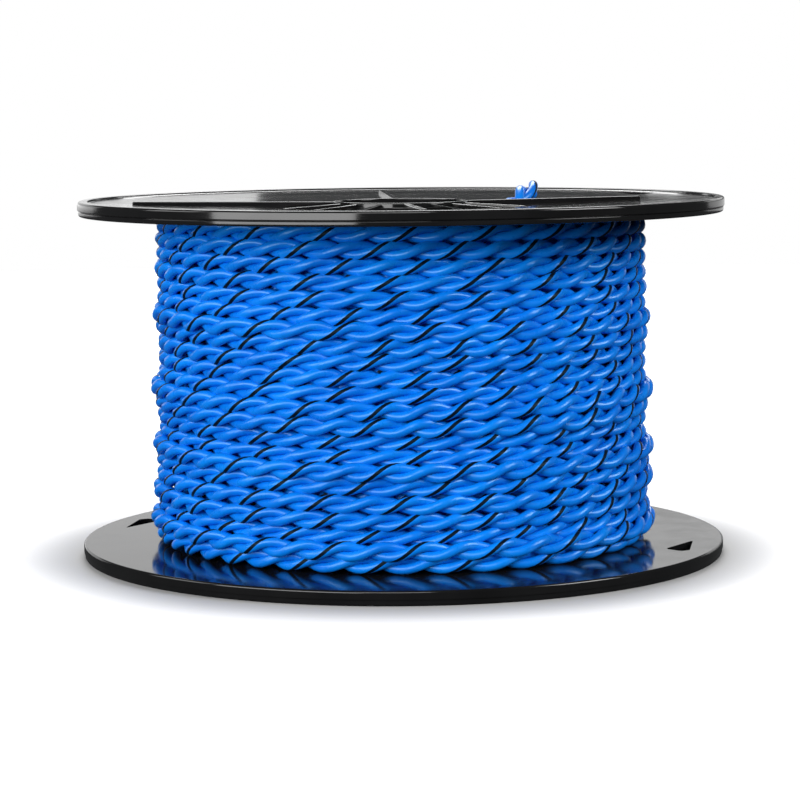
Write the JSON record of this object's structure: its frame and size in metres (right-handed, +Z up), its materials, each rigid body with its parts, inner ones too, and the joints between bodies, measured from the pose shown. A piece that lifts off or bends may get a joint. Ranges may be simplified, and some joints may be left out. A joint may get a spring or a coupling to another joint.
{
  "type": "wire spool",
  "caption": "Flanged plastic spool standing on one flange, full of blue twisted two-conductor wire, with an arbor hole and tie holes.",
  "frame": {"origin": "centre of the lower flange's rim plane, the plane the spool stands on", "axes": "+Z up along the spool's axis, -Y towards the viewer"},
  "size_m": [0.165, 0.165, 0.094],
  "materials": {
    "spool_black": "glossy injection-moulded polystyrene",
    "wire_blue": "smooth semi-gloss extruded polyethylene insulation",
    "tracer_black": "thin ink tracer stripe on the insulation",
    "copper": "bare solid copper at the cut ends"
  },
  "bodies": {
    "root": {"bottom_flange": "spool_black", "top_flange": "spool_black", "barrel": "spool_black", "arbor_tube": "spool_black", "winding_layer_1": "wire_blue", "winding_layer_2": "wire_blue", "winding_layer_3": "wire_blue", "winding_layer_4": "wire_blue", "winding_layer_5": "wire_blue", "winding_layer_6": "wire_blue", "winding_layer_7": "wire_blue", "winding_layer_8": "wire_blue", "wire_tail": "wire_blue"}
  },
  "joints": []
}
